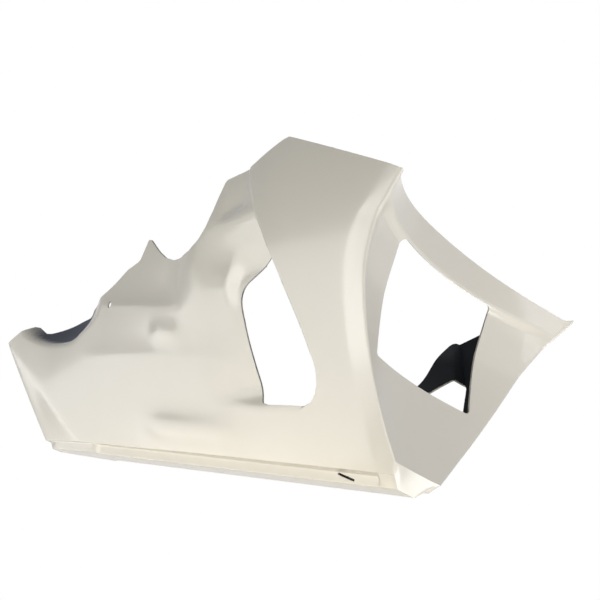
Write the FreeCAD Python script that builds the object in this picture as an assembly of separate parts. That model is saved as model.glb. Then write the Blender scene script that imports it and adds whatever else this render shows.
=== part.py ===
"""Belly pan of a racing motorcycle: one thin glass-fibre moulding, open at the top.

X points to the front of the motorcycle, Y to its left and Z up. The origin is on the keel's flat underside,
in the middle plane of the motorcycle and near the middle of the moulding's length.
"""

import FreeCAD, Part
import math
import os

from FreeCAD import Vector

# The laminate.
WALL = 2.5

# Side walls: half-widths at the floor, lean outward for each millimetre of height, rounding of the section.
FLOOR_Z = 12.0
TAIL_HALF_FLOOR = 24.0
FRONT_HALF_FLOOR = 38.0
TAIL_LEAN = 0.24
FRONT_LEAN = 0.586
TAIL_BULGE = 8.0
FRONT_BULGE = 25.5
BULGE_HEIGHT = 280.0
TAPER_REAR_X = -329.0
TAPER_FRONT_X = 231.0

# Outline of the side walls.
TAIL_TOP_X = -432.0
TAIL_TOP_Z = 153.0
TAIL_FOOT_X = -314.0
TAIL_FOOT_Z = 9.0
EAR_X = -370.0
EAR_Z = 186.0
PIPE_DIP_X = -340.0
PIPE_DIP_Z = 172.0
PIPE_RISE_X = -262.0
PIPE_RISE_Z = 196.0
PIPE_EDGE_X = -170.0
PIPE_EDGE_Z = 207.0
KNEE_X = -93.0
KNEE_Z = 243.0
HORN_FOOT_X = -58.0
HORN_FOOT_Z = 251.0
HORN_X = -35.0
HORN_Z = 279.0
COVER_X = 80.0
COVER_Z = 193.0
COVER_RADIUS = 88.0
SHOULDER_X = 148.0
SHOULDER_Z = 321.0
APEX_X = 253.0
APEX_Z = 354.0
TIP_X = 432.0
TIP_Z = 292.0
CORNER_RADIUS = 8.0
PIPE_EDGE_RADIUS = 16.0

# Joggle between the rear and the front of each wall, and the gill behind it.
JOGGLE_TOP_X = 192.0
JOGGLE_TOP_Z = 326.0
JOGGLE_RUN = 107.0
JOGGLE_DROP = 221.0
JOGGLE_DEPTH = 5.0
GILL_DEPTH = 22.0
GILL_RAMP = 170.0
GILL_RISE = 60.0
GILL_TOP_Z = 214.0
GILL_FOOT_Z = 68.0
GILL_REAR_TOP_X = 167.0
GILL_REAR_FOOT_X = 201.0
GILL_LOW_RADIUS = 28.0
GILL_HIGH_RADIUS = 26.0
GILL_OVERLAP = 5.0

# Left-hand wall: it flares further out to the front, its joggle lies further forward, its gill is shorter and
# its top edge dips behind the joggle.
LEFT_FLARE = 9.0
LEFT_SHIFT = 44.0
LEFT_GILL_TOP_Z = 192.0
LEFT_GILL_FOOT_Z = 72.0
LEFT_GILL_REAR_TOP_X = 248.0
LEFT_GILL_REAR_TOP_Z = 140.0
LEFT_GILL_REAR_FOOT_X = 262.0
DIP_REAR_X = -45.0
DIP_REAR_Z = 184.0
DIP_FOOT_X = 22.0
DIP_FOOT_Z = 116.0
DIP_FRONT_X = 252.0
DIP_FRONT_Z = 164.0
BROW_REAR_X = 259.0
BROW_REAR_Z = 252.0
BROW_FRONT_X = 300.0
BROW_FRONT_Z = 279.0
DIP_RADIUS = 40.0

# Tail: each wall tucks in to a flat facet behind a crease that runs down and forward.
TUCK_TOP_X = -414.0
TUCK_TOP_Z = 142.0
TUCK_FOOT_X = -240.0
TUCK_FOOT_Z = 33.0
TUCK_SLOPE = 0.27

# Relief for the exhaust pipe in the top edge near the tail.
PIPE_RADIUS = 58.0
PIPE_BEND = 170.0
PIPE_X = -300.0
PIPE_Z = 195.0
PIPE_BITE = 33.0

# Fascia across the front: bowed back in the middle, waisted in height, with ends that lean forward.
WAIST_X = 348.0
WAIST_Z = 200.0
CHIN_RAKE = 35.0
CHIN_POWER = 1.4
BAR_SET = 10.0
BAR_RISE = 70.0
BOW = 49.0
BOW_HALF = 200.0
END_LEAN = 0.55
END_LEAN_Z = 250.0
END_POWER = 4
FASCIA_DROP = 5.0
FASCIA_TOP_HALF = 186.0
MOUTH_TOP_Z = 269.0
MOUTH_TOP_HALF = 100.0
MOUTH_FOOT_HALF = 98.0
CHIN_Z = 126.0
MOUTH_RADIUS = 9.0
STRIP_WIDTH = 26.0
STRIP_TUCK = 5.0

# Underside: a hollow keel, a pad under the tail and the lip below the chin.
KEEL_HALF = 16.5
KEEL_REAR_X = -207.0
LIP_Z = 24.5
LIP_X = 383.0
LIP_FOOT_X = 377.0
NOSE_REAR_X = 353.0
NOSE_HALF = 34.0
PAD_REAR_X = -300.0
PAD_REAR_HALF = 8.0
PAD_REAR_RADIUS = 4.0
PAD_FRONT_X = -157.0
PAD_HALF = 24.0
PAD_RADIUS = 14.0
DRAIN_X = 303.0
DRAIN_LENGTH = 26.0
DRAIN_HEIGHT = 3.0
DRAIN_RADIUS = 1.2
DRAIN_Z = 7.0
DRAIN_TILT = 13.0

# Fixing hole near the top edge of the right-hand wall.
HOLE_X = -132.0
HOLE_Z = 197.0
HOLE_RADIUS = 4.0

# Grids of the freeform surfaces, and how far the tools run past the moulding.
GRID = 58.0
FINE_GRID = 12.0
FASCIA_GRID = 36.0
REACH = 60.0
THROUGH = 400.0


def smooth(t):
    """Rise from 0 to 1 with level ends."""
    t = min(max(t, 0.0), 1.0)
    return t * t * (3.0 - 2.0 * t)


def blend(low, high, t):
    """Straight mix of two values."""
    return low + (high - low) * min(max(t, 0.0), 1.0)


def joggle_x(z, shift):
    """Place along X of the joggle at one height, on a wall where it is shifted forward."""
    drop = min(max((JOGGLE_TOP_Z - z) / JOGGLE_DROP, 0.0), 1.0)
    return JOGGLE_TOP_X + shift + JOGGLE_RUN * (drop + smooth(drop)) / 2.0


def fascia_x(y, z):
    """Front face of the fascia at one place across and one height."""
    below = max(WAIST_Z - z, 0.0) / (WAIST_Z - LIP_Z)
    profile = CHIN_RAKE * below ** CHIN_POWER + BAR_SET * smooth((z - WAIST_Z) / BAR_RISE)
    across = abs(y) / BOW_HALF
    lean = END_LEAN * max(z - END_LEAN_Z, 0.0) * across ** END_POWER
    return WAIST_X + profile + BOW * across ** 2 + lean


def taper(x):
    """Share of the way from the tail's section to the front's."""
    return (x - TAPER_REAR_X) / (TAPER_FRONT_X - TAPER_REAR_X)


def plain_half_width(x, z):
    """Half-width of the plain trough, wider and rounder to the front."""
    along = taper(x)
    floor = blend(TAIL_HALF_FLOOR, FRONT_HALF_FLOOR, along)
    lean = blend(TAIL_LEAN, FRONT_LEAN, along)
    bulge = blend(TAIL_BULGE, FRONT_BULGE, along)
    height = (z - FLOOR_Z) / BULGE_HEIGHT
    rounding = bulge * (1.0 - (2.0 * height - 1.0) ** 2)
    return floor + lean * (z - FLOOR_Z) + rounding


def gill_inset(back, z):
    """How far the wall lies inboard at a distance behind the joggle."""
    if back <= 0.0:
        return 0.0
    from_top = smooth((GILL_TOP_Z + GILL_RISE - z) / GILL_RISE)
    from_foot = smooth((z - GILL_FOOT_Z + GILL_RISE) / GILL_RISE)
    depth = JOGGLE_DEPTH * from_foot + (GILL_DEPTH - JOGGLE_DEPTH) * from_top * from_foot
    return depth * smooth(1.0 - back / GILL_RAMP)


def strip_tuck(x, z):
    """How far the wall turns in along its front edge."""
    edge = fascia_x(plain_half_width(x, z), z)
    return STRIP_TUCK * min(max((x - edge + STRIP_WIDTH) / STRIP_WIDTH, 0.0), 2.0)


def half_width(x, z, shift, flare):
    """Distance of a finished wall from the middle plane."""
    inset = gill_inset(joggle_x(z, shift) - x, z) + strip_tuck(x, z)
    return plain_half_width(x, z) + blend(0.0, flare, taper(x)) - inset


def steps(low, high, pitch):
    """Even stations from low to high, about a pitch apart."""
    count = max(4, round((high - low) / pitch))
    return [low + (high - low) * i / count for i in range(count + 1)]


def freeform(rows):
    """Smooth cubic surface drawn by a net of control points."""
    degree = 3
    knots = [list(range(n - degree + 1)) for n in (len(rows), len(rows[0]))]
    mults = [[degree + 1] + [1] * (len(k) - 2) + [degree + 1] for k in knots]
    surface = Part.BSplineSurface()
    surface.buildFromPolesMultsKnots(rows, *mults, *knots, False, False, degree, degree)
    return surface.toShape()


def offset_net(rows, distance):
    """Net moved along its own normals."""
    moved = []
    for i, row in enumerate(rows):
        before, after = rows[max(i - 1, 0)], rows[min(i + 1, len(rows) - 1)]
        line = []
        for j, point in enumerate(row):
            across = row[min(j + 1, len(row) - 1)] - row[max(j - 1, 0)]
            normal = (after[j] - before[j]).cross(across)
            normal.normalize()
            line.append(point + normal * distance)
        moved.append(line)
    return moved


def wall_net(shift, flare):
    """Control net of a wall, on the right of the middle, with columns that follow the joggle."""
    rear = TAIL_TOP_X - REACH - JOGGLE_TOP_X - JOGGLE_RUN - LEFT_SHIFT
    front = TIP_X + REACH - JOGGLE_TOP_X
    columns = steps(rear, -GRID, GRID) + [-2.0 * FINE_GRID, -FINE_GRID, 0.0, FINE_GRID, 2.0 * FINE_GRID]
    columns += steps(GRID, front, GRID)
    heights = steps(FLOOR_Z - REACH / 2.0, APEX_Z + REACH, GRID)
    net = []
    for u in columns:
        stations = [(joggle_x(z, shift) + u, z) for z in heights]
        net.append([Vector(x, -half_width(x, z, shift, flare), z) for x, z in stations])
    return net


def fascia_net():
    """Control net of the fascia's front face."""
    wide = BOW_HALF + 1.5 * REACH
    heights = steps(-2.0 * REACH, APEX_Z + 2.0 * REACH, FASCIA_GRID)
    return [[Vector(fascia_x(y, z), y, z) for z in heights] for y in steps(-wide, wide, FASCIA_GRID)]


def mirrored(shape):
    """Left-hand copy of a right-hand shape."""
    return shape.mirror(Vector(0.0, 0.0, 0.0), Vector(0.0, 1.0, 0.0))


def rounded(corners, place):
    """Flat face with rounded corners from (u, v, radius) corners, put in space by a function of u and v."""
    flat = [Vector(u, v, 0.0) for u, v, radius in corners]
    edges = []
    ends = []
    for i, (u, v, radius) in enumerate(corners):
        to_last = flat[i - 1] - flat[i]
        to_next = flat[(i + 1) % len(flat)] - flat[i]
        to_last.normalize()
        to_next.normalize()
        half = to_last.getAngle(to_next) / 2.0
        reach = radius / math.tan(half)
        middle = to_last + to_next
        middle.normalize()
        top = flat[i] + middle * (radius / math.sin(half) - radius)
        ends.append((flat[i] + to_last * reach, top, flat[i] + to_next * reach))
    for i, (first, top, last) in enumerate(ends):
        points = [place(p.x, p.y) for p in (first, top, last)]
        if corners[i][2] > 0.0:
            edges.append(Part.Arc(*points).toShape())
        following = place(ends[(i + 1) % len(ends)][0].x, ends[(i + 1) % len(ends)][0].y)
        edges.append(Part.makeLine(points[2], following))
    return Part.Face(Part.Wire(edges))


def side_prism(corners, low, high):
    """Side-view outline run across from one Y to another."""
    face = rounded(corners, lambda u, v: Vector(u, low, v))
    return face.extrude(Vector(0.0, high - low, 0.0))


def front_prism(corners, low, high):
    """Front-view outline run along from one X to another."""
    face = rounded(corners, lambda u, v: Vector(low, u, v))
    return face.extrude(Vector(high - low, 0.0, 0.0))


def plan_prism(corners, low, high):
    """Plan outline run up from one Z to another."""
    face = rounded(corners, lambda u, v: Vector(u, v, low))
    return face.extrude(Vector(0.0, 0.0, high - low))


def box(rear, front, half, low, high):
    """Box centred on the middle plane."""
    return Part.makeBox(front - rear, 2.0 * half, high - low, Vector(rear, -half, low))


def pipe_clearance(growth):
    """Bent pipe beside the right-hand wall, made larger by the growth."""
    side = plain_half_width(PIPE_X, PIPE_Z) + PIPE_BEND + PIPE_RADIUS - PIPE_BITE
    return Part.makeTorus(PIPE_BEND, PIPE_RADIUS + growth, Vector(PIPE_X, -side, PIPE_Z))


def tail_facet(inset):
    """What lies outside the facet behind the crease of the right-hand wall, drawn in by the inset."""
    top = Vector(TUCK_TOP_X, -plain_half_width(TUCK_TOP_X, TUCK_TOP_Z), TUCK_TOP_Z)
    foot = Vector(TUCK_FOOT_X, -plain_half_width(TUCK_FOOT_X, TUCK_FOOT_Z), TUCK_FOOT_Z)
    behind = Vector(foot.z - top.z, 0.0, top.x - foot.x)
    behind.normalize()
    back = top + behind * REACH
    back.y = TUCK_SLOPE * REACH - plain_half_width(back.x, back.z)
    run = foot - top
    outward = (back - top).cross(run)
    outward.normalize()
    run.normalize()
    across = outward.cross(run)
    middle = (top + foot) / 2.0 - outward * inset
    corners = [middle + (run * i + across * j) * THROUGH for i, j in ((-1, -1), (1, -1), (1, 1), (-1, 1))]
    return Part.Face(Part.makePolygon(corners + corners[:1])).extrude(outward * THROUGH)


def underside(inset):
    """Keel, tail pad and nose below the floor, drawn in by the inset."""
    top = FLOOR_Z + WALL
    keel = box(KEEL_REAR_X, LIP_X, KEEL_HALF - inset, inset, top)
    rear, rear_half = PAD_REAR_X + inset, PAD_REAR_HALF - inset
    front, front_half = PAD_FRONT_X - inset, PAD_HALF - inset
    rear_radius, front_radius = max(PAD_REAR_RADIUS - inset, 0.0), max(PAD_RADIUS - inset, 0.0)
    pad = [(rear, -rear_half, rear_radius), (front, -front_half, front_radius)]
    pad += [(front, front_half, front_radius), (rear, rear_half, rear_radius)]
    nose = [(-KEEL_HALF + inset, inset, 0.0), (KEEL_HALF - inset, inset, 0.0)]
    nose += [(NOSE_HALF - inset, top, 0.0), (inset - NOSE_HALF, top, 0.0)]
    solids = [plan_prism(pad, inset, top), front_prism(nose, NOSE_REAR_X + inset, LIP_X + REACH)]
    return keel.multiFuse(solids)


def volume(inset):
    """Whole trough as a solid block, drawn in by the inset: outer form at 0, inner form at the wall."""
    margin = REACH / 2.0
    block = box(TAIL_TOP_X - margin, TIP_X + margin, THROUGH, FLOOR_Z + inset, APEX_Z + margin)
    across = Vector(0.0, 2.0 * THROUGH, 0.0)
    right = freeform(offset_net(wall_net(0.0, 0.0), -inset)).extrude(across)
    left = freeform(offset_net(wall_net(LEFT_SHIFT, LEFT_FLARE), -inset)).extrude(across)
    block = block.common(right).common(mirrored(left))
    block = block.fuse(underside(inset))
    fascia = freeform(offset_net(fascia_net(), -inset))
    block = block.cut(fascia.extrude(Vector(THROUGH, 0.0, 0.0)))
    fall = (LIP_X - LIP_FOOT_X) / LIP_Z
    lip = [(LIP_X - inset, LIP_Z, 0.0), (LIP_FOOT_X - inset - fall * REACH, -REACH, 0.0)]
    lip += [(LIP_X + THROUGH, -REACH, 0.0), (LIP_X + THROUGH, LIP_Z, 0.0)]
    block = block.cut(side_prism(lip, -THROUGH, THROUGH))
    rake = Vector(TAIL_TOP_X - TAIL_FOOT_X, 0.0, TAIL_TOP_Z - TAIL_FOOT_Z)
    rake.normalize()
    ahead = Vector(rake.z, 0.0, -rake.x)
    foot = Vector(TAIL_FOOT_X, 0.0, TAIL_FOOT_Z) + ahead * inset
    tail = [foot - rake * THROUGH, foot + rake * THROUGH]
    tail += [tail[1] - ahead * THROUGH, tail[0] - ahead * THROUGH]
    block = block.cut(side_prism([(p.x, p.z, 0.0) for p in tail], -THROUGH, THROUGH))
    for cutter in (tail_facet(inset), pipe_clearance(inset)):
        block = block.cut(cutter).cut(mirrored(cutter))
    return block


def outline():
    """Side-view outline that trims the open top of the trough."""
    slope = (APEX_Z - TIP_Z) / (TIP_X - APEX_X)
    corners = [(TAIL_TOP_X - REACH, -REACH, 0.0)]
    corners += [(TAIL_TOP_X - REACH, TAIL_TOP_Z - REACH * (EAR_Z - TAIL_TOP_Z) / (EAR_X - TAIL_TOP_X), 0.0)]
    corners += [(EAR_X, EAR_Z, 0.0), (PIPE_DIP_X, PIPE_DIP_Z, PIPE_EDGE_RADIUS)]
    corners += [(PIPE_RISE_X, PIPE_RISE_Z, PIPE_EDGE_RADIUS), (PIPE_EDGE_X, PIPE_EDGE_Z, PIPE_EDGE_RADIUS)]
    corners += [(KNEE_X, KNEE_Z, CORNER_RADIUS), (HORN_FOOT_X, HORN_FOOT_Z, CORNER_RADIUS)]
    corners += [(HORN_X, HORN_Z, 0.0), (COVER_X, COVER_Z, COVER_RADIUS)]
    corners += [(SHOULDER_X, SHOULDER_Z, CORNER_RADIUS), (JOGGLE_TOP_X, JOGGLE_TOP_Z, CORNER_RADIUS)]
    corners += [(APEX_X, APEX_Z, CORNER_RADIUS)]
    corners += [(TIP_X + REACH, TIP_Z - slope * REACH, 0.0), (TIP_X + REACH, -REACH, 0.0)]
    return side_prism(corners, -THROUGH, THROUGH)


def right_gill():
    """Opening behind the joggle of the right-hand wall."""
    corners = [(joggle_x(GILL_TOP_Z, 0.0) + GILL_OVERLAP, GILL_TOP_Z, CORNER_RADIUS)]
    corners += [(joggle_x(GILL_FOOT_Z, 0.0) + GILL_OVERLAP, GILL_FOOT_Z, GILL_LOW_RADIUS)]
    corners += [(GILL_REAR_FOOT_X, GILL_FOOT_Z, CORNER_RADIUS)]
    corners += [(GILL_REAR_TOP_X, GILL_TOP_Z, GILL_HIGH_RADIUS)]
    return side_prism(corners, -THROUGH, 0.0)


def left_gill():
    """Opening behind the joggle of the left-hand wall."""
    corners = [(joggle_x(LEFT_GILL_TOP_Z, LEFT_SHIFT) + GILL_OVERLAP, LEFT_GILL_TOP_Z, CORNER_RADIUS)]
    corners += [(joggle_x(LEFT_GILL_FOOT_Z, LEFT_SHIFT) + GILL_OVERLAP, LEFT_GILL_FOOT_Z, GILL_LOW_RADIUS)]
    corners += [(LEFT_GILL_REAR_FOOT_X, LEFT_GILL_FOOT_Z, CORNER_RADIUS)]
    corners += [(LEFT_GILL_REAR_TOP_X, LEFT_GILL_REAR_TOP_Z, CORNER_RADIUS)]
    return side_prism(corners, 0.0, THROUGH)


def left_dip():
    """What lies above the lower top edge of the left-hand wall, behind its front part."""
    corners = [(PIPE_RISE_X, PIPE_EDGE_Z + REACH / 2.0, 0.0), (DIP_REAR_X, DIP_REAR_Z, DIP_RADIUS)]
    corners += [(DIP_FOOT_X, DIP_FOOT_Z, DIP_RADIUS), (DIP_FRONT_X, DIP_FRONT_Z, DIP_RADIUS)]
    corners += [(BROW_REAR_X, BROW_REAR_Z, CORNER_RADIUS), (BROW_FRONT_X, BROW_FRONT_Z, 0.0)]
    corners += [(BROW_FRONT_X, APEX_Z + REACH, 0.0), (PIPE_RISE_X, APEX_Z + REACH, 0.0)]
    return side_prism(corners, 0.0, THROUGH)


def left_brow():
    """What lies above the top edge of the left-hand wall's front part."""
    slope = (TIP_Z - BROW_FRONT_Z) / (TIP_X - BROW_FRONT_X)
    rear, front, top = BROW_REAR_X, TIP_X + REACH, APEX_Z + REACH
    low = [BROW_FRONT_Z + slope * (x - BROW_FRONT_X) for x in (rear, front)]
    corners = [(rear, low[0], 0.0), (front, low[1], 0.0), (front, top, 0.0), (rear, top, 0.0)]
    return side_prism(corners, FASCIA_TOP_HALF + LEFT_FLARE, THROUGH)


def mouth():
    """Opening in the fascia above the chin."""
    corners = [(-MOUTH_FOOT_HALF, CHIN_Z, 0.0), (MOUTH_FOOT_HALF, CHIN_Z, 0.0)]
    corners += [(MOUTH_TOP_HALF, MOUTH_TOP_Z, MOUTH_RADIUS), (-MOUTH_TOP_HALF, MOUTH_TOP_Z, MOUTH_RADIUS)]
    return front_prism(corners, WAIST_X - REACH, TIP_X + REACH)


def fascia_trim():
    """What lies above the fascia's top edge, which runs below the top edge of the walls."""
    slope = (APEX_Z - TIP_Z) / (TIP_X - APEX_X)
    rear, front, top = WAIST_X - REACH, TIP_X + REACH, APEX_Z + REACH
    low = [APEX_Z - FASCIA_DROP - slope * (x - APEX_X) for x in (rear, front)]
    corners = [(rear, low[0], 0.0), (front, low[1], 0.0), (front, top, 0.0), (rear, top, 0.0)]
    return side_prism(corners, -FASCIA_TOP_HALF, FASCIA_TOP_HALF + LEFT_FLARE)


def drain():
    """Slanting slot through the right-hand side of the keel."""
    rear, front = DRAIN_X - DRAIN_LENGTH / 2.0, DRAIN_X + DRAIN_LENGTH / 2.0
    low, high = DRAIN_Z - DRAIN_HEIGHT / 2.0, DRAIN_Z + DRAIN_HEIGHT / 2.0
    corners = [(rear, low, DRAIN_RADIUS), (front, low, DRAIN_RADIUS)]
    corners += [(front, high, DRAIN_RADIUS), (rear, high, DRAIN_RADIUS)]
    slot = side_prism(corners, -KEEL_HALF - WALL, -KEEL_HALF + 2.0 * WALL)
    slot.rotate(Vector(DRAIN_X, 0.0, DRAIN_Z), Vector(0.0, 1.0, 0.0), DRAIN_TILT)
    return slot


def fixing_hole():
    """Hole drilled square through the right-hand wall."""
    side = half_width(HOLE_X, HOLE_Z, 0.0, 0.0)
    across = Vector(1.0, side - half_width(HOLE_X + 1.0, HOLE_Z, 0.0, 0.0), 0.0)
    up = Vector(0.0, side - half_width(HOLE_X, HOLE_Z + 1.0, 0.0, 0.0), 1.0)
    inward = up.cross(across)
    inward.normalize()
    start = Vector(HOLE_X, -side, HOLE_Z) - inward * REACH / 2.0
    return Part.makeCylinder(HOLE_RADIUS, REACH, start, inward)


def belly_pan():
    """The whole moulding."""
    shell = volume(0.0).common(outline()).cut(volume(WALL))
    openings = [right_gill(), left_gill(), mouth(), drain(), fixing_hole()]
    return shell.cut(openings + [left_dip(), left_brow(), fascia_trim()])


def main():
    os.makedirs("parts", exist_ok=True)
    belly_pan().exportStep("parts/belly_pan.step")


main()
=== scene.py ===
"""A racing motorcycle's belly pan in a plain studio: one glossy glass-fibre moulding, cream outside and dark inside.

Sizes are millimetres until a mesh is made. X points to the motorcycle's front, Y to its left and Z up, as in the frame.
The moulding is a ring of wall, fascia, wall and transom carried up over its height, closed below by the keel.
"""

import math

import bpy
import numpy as np
from mathutils import Matrix, Vector


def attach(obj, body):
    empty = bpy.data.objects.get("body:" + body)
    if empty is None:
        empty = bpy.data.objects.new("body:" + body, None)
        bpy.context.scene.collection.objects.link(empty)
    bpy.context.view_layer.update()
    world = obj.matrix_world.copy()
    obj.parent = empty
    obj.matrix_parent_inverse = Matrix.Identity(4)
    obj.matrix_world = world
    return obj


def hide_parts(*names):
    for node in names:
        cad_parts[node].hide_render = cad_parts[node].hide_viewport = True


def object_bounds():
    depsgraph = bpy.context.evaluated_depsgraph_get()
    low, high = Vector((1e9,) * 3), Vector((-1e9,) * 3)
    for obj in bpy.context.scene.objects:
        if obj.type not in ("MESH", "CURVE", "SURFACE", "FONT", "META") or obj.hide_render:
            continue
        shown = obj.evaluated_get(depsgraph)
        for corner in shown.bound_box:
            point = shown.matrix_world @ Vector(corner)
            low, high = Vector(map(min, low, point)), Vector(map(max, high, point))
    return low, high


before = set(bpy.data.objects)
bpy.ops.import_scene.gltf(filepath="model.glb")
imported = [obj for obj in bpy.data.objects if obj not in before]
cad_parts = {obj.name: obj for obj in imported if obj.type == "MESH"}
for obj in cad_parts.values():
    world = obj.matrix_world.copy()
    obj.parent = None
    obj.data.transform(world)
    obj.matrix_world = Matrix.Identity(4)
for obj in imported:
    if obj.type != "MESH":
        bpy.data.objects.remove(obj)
cad_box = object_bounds()

MM = 0.001
LEAST_LENGTH = 1e-9
NODE = "belly_pan"
BODY = "root"

# The laminate.
WALL = 2.5

# Side walls: half-widths at the floor, lean outward for each millimetre of height, and rounding of the section.
FLOOR_Z = 12.0
TAIL_HALF_FLOOR, FRONT_HALF_FLOOR = 24.0, 38.0
TAIL_LEAN, FRONT_LEAN = 0.24, 0.586
TAIL_BULGE, FRONT_BULGE = 8.0, 25.5
BULGE_HEIGHT, BULGE_SETTLE = 280.0, 0.07
TAPER_REAR_X, TAPER_FRONT_X, TAPER_ROUNDING = -329.0, 231.0, 24.0

# Corners of the walls' top edge as (x, z), and their radii.
TAIL_TOP = (-432.0, 153.0)
TAIL_FOOT = (-314.0, 9.0)
EAR = (-370.0, 186.0)
PIPE_DIP = (-340.0, 172.0)
PIPE_RISE = (-262.0, 196.0)
PIPE_EDGE = (-170.0, 207.0)
KNEE = (-96.0, 243.0)
HORN_FOOT = (-62.0, 251.0)
HORN = (-40.0, 279.0)
COVER = (73.0, 193.0)
SHOULDER = (140.0, 322.0)
APEX = (253.0, 353.8)
TIP = (432.0, 292.0)
FRONT_SLOPE = (APEX[1] - TIP[1]) / (TIP[0] - APEX[0])
CORNER_RADIUS, PIPE_EDGE_RADIUS, COVER_RADIUS = 8.0, 16.0, 88.0

# Lower top edge of the left-hand wall: the dip beside the engine, and the brow in front of it.
DIP_REAR = (-45.0, 184.0)
DIP_FOOT = (22.0, 116.0)
DIP_FRONT = (252.0, 164.0)
BROW_REAR = (259.0, 252.0)
BROW_FRONT = (300.0, 279.0)
DIP_RISE, DIP_RADIUS = 30.0, 40.0

# How far an outline runs on past what it trims.
FAR = 100.0

# Joggle between the rear and the front of each wall: its line, its step, the curl at its foot, the panel's edge.
JOGGLE_TOP = (192.0, 326.0)
JOGGLE_RUN, JOGGLE_DROP, JOGGLE_DEPTH, JOGGLE_STEP = 107.0, 221.0, 3.0, 3.0
CURL_Z, CURL_RADIUS, PANEL_EDGE = 100.0, 34.0, 0.6

# Gill behind the joggle: how the wall is drawn in to it, and the opening's corners and radii.
GILL_DEPTH, GILL_RAMP, GILL_RISE = 22.0, 170.0, 60.0
GILL_END_Z, GILL_END_RISE = 62.0, 34.0
GILL_TOP_Z, GILL_PEAK_Z, GILL_FOOT_Z, GILL_OVERLAP = 214.0, 230.0, 68.0, 5.0
GILL_REAR_TOP, GILL_REAR_FOOT = (174.0, 189.0), (201.0, 68.0)
GILL_LOW_RADIUS, GILL_HIGH_RADIUS = 8.0, 26.0

# What the left-hand wall has of its own: shift of its joggle, flare to the front, corners of its gill.
LEFT_SHIFT, LEFT_FLARE = 44.0, 6.6
LEFT_GILL_TOP_Z, LEFT_GILL_FOOT_Z = 192.0, 72.0
LEFT_GILL_REAR_TOP, LEFT_GILL_REAR_FOOT = (248.0, 140.0), (262.0, 72.0)

# Tail: the wall tucks in behind a crease that runs down and forward.
TUCK_TOP, TUCK_FOOT = (-414.0, 142.0), (-240.0, 33.0)
TUCK_SLOPE, TUCK_ROUNDING = 0.27, 4.0

# Relief for the exhaust pipe in the top edge near the tail.
PIPE_RADIUS, PIPE_BEND, PIPE_BITE = 58.0, 170.0, 33.0
PIPE_X, PIPE_Z = -300.0, 195.0
PIPE_ROUNDING = 1.5
PIPE_END_X, PIPE_END_RUN, PIPE_SETTLE = -245.0, 45.0, 8.5

# Painted shade in the pipe's relief: depth of dish for its full tone, loss toward the tail, and fade toward the front.
RELIEF_SHADE_DEPTH, RELIEF_SHADE_REAR_X, RELIEF_SHADE_RUN, RELIEF_SHADE_LOSS = 10.0, -340.0, 45.0, 0.42
RELIEF_SHADE_FRONT_X, RELIEF_SHADE_FADE = -225.0, 60.0

# Fascia across the front: chin, bar with its step, bow, leaning ends, top edge, mouth, and the strip beside it.
WAIST_X, WAIST_Z = 348.0, 200.0
CHIN_RAKE, CHIN_POWER = 35.0, 1.4
BAR_SET, BAR_RISE = 10.0, 70.0
BAR_STEP, BAR_STEP_Z, BAR_STEP_RISE = 6.0, 260.0, 13.0
BAR_STEP_HALF, BAR_STEP_FADE = 160.0, 30.0
BOW, BOW_HALF = 49.0, 200.0
END_LEAN, END_LEAN_Z, END_POWER = 0.55, 250.0, 4
FASCIA_DROP, FASCIA_BLEND = 6.0, 10.0
MOUTH_TOP_Z, MOUTH_TOP_HALF, MOUTH_FOOT_HALF, CHIN_Z, MOUTH_RADIUS = 269.0, 100.0, 98.0, 126.0, 9.0
STRIP_WIDTH, STRIP_TUCK, STRIP_ROUNDING = 26.0, 5.0, 5.0

# Underside: keel, lip, nose, tail pad, ledge and drain slot.
KEEL_HALF, KEEL_REAR_X, KEEL_DRAFT = 16.5, -207.0, 3.0
LIP_X, LIP_FOOT_X, LIP_Z = 383.0, 377.0, 24.5
NOSE_REAR_X, NOSE_HALF = 353.0, 34.0
PAD_REAR_X, PAD_FRONT_X, PAD_REAR_HALF, PAD_HALF, PAD_RADIUS = -300.0, -157.0, 8.0, 24.0, 14.0
STEP_RUN, LEDGE = 5.0, 1.0
DRAIN_X, DRAIN_Z, DRAIN_LENGTH, DRAIN_HEIGHT, DRAIN_TILT = 303.0, 7.0, 26.0, 3.0, 13.0

# Painted shade on what faces down: where it starts, as a share of straight down, and the run to its full tone.
DOWN_SHADE_START, DOWN_SHADE_RUN = 0.86, 0.12

# Fixing hole.
HOLE = (-132.0, 197.0)
HOLE_RADIUS = 4.8

# Soft swellings of the right-hand wall: x, z, half-length, half-height, tilt in degrees, rise outward.
SWELLINGS = {
    "lens": (22.0, 149.0, 28.0, 9.0, -10.0, 3.6),
    "low shelf": (58.0, 35.0, 80.0, 13.0, -1.0, 11.0),
    "upper wave": (74.0, 215.0, 20.0, 34.0, 0.0, 2.0),
}
FLAT_POWER = 4

# Creases of the right-hand wall: ends as x and z, slope just above the line, fall-off above it, rounding, soft ends.
CREASES = {
    "upper break": (-225.0, 207.0, 104.0, 172.0, 0.38, 46.0, 2.5, 100.0),
    "lower break": (-215.0, 135.0, 190.0, 114.0, 0.26, 36.0, 2.5, 70.0),
    "dent": (132.0, 268.0, 204.0, 281.0, 1.10, 10.0, 2.5, 26.0),
    "gill step": (98.0, 69.0, 256.0, 63.0, 0.76, 26.0, 2.5, 64.0),
}

# Scoop round the top and rear of the right-hand gill: width, rise of the ridge around it, fall-off, rounding, heights.
SCOOP_WIDTH, SCOOP_RISE, SCOOP_FALL, SCOOP_ROUNDING = 21.0, 6.0, 38.0, 3.0
SCOOP_FOOT_Z, SCOOP_FULL_Z = 140.0, 195.0
SCOOP_REAR_TOP = (167.0, 214.0)

# What sets the two walls apart: side of the middle, shift of the joggle, flare to the front, creases and swellings.
RIGHT = {"sign": -1.0, "shift": 0.0, "flare": 0.0, "modelled": True}
LEFT = {"sign": 1.0, "shift": LEFT_SHIFT, "flare": LEFT_FLARE, "modelled": False}

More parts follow.
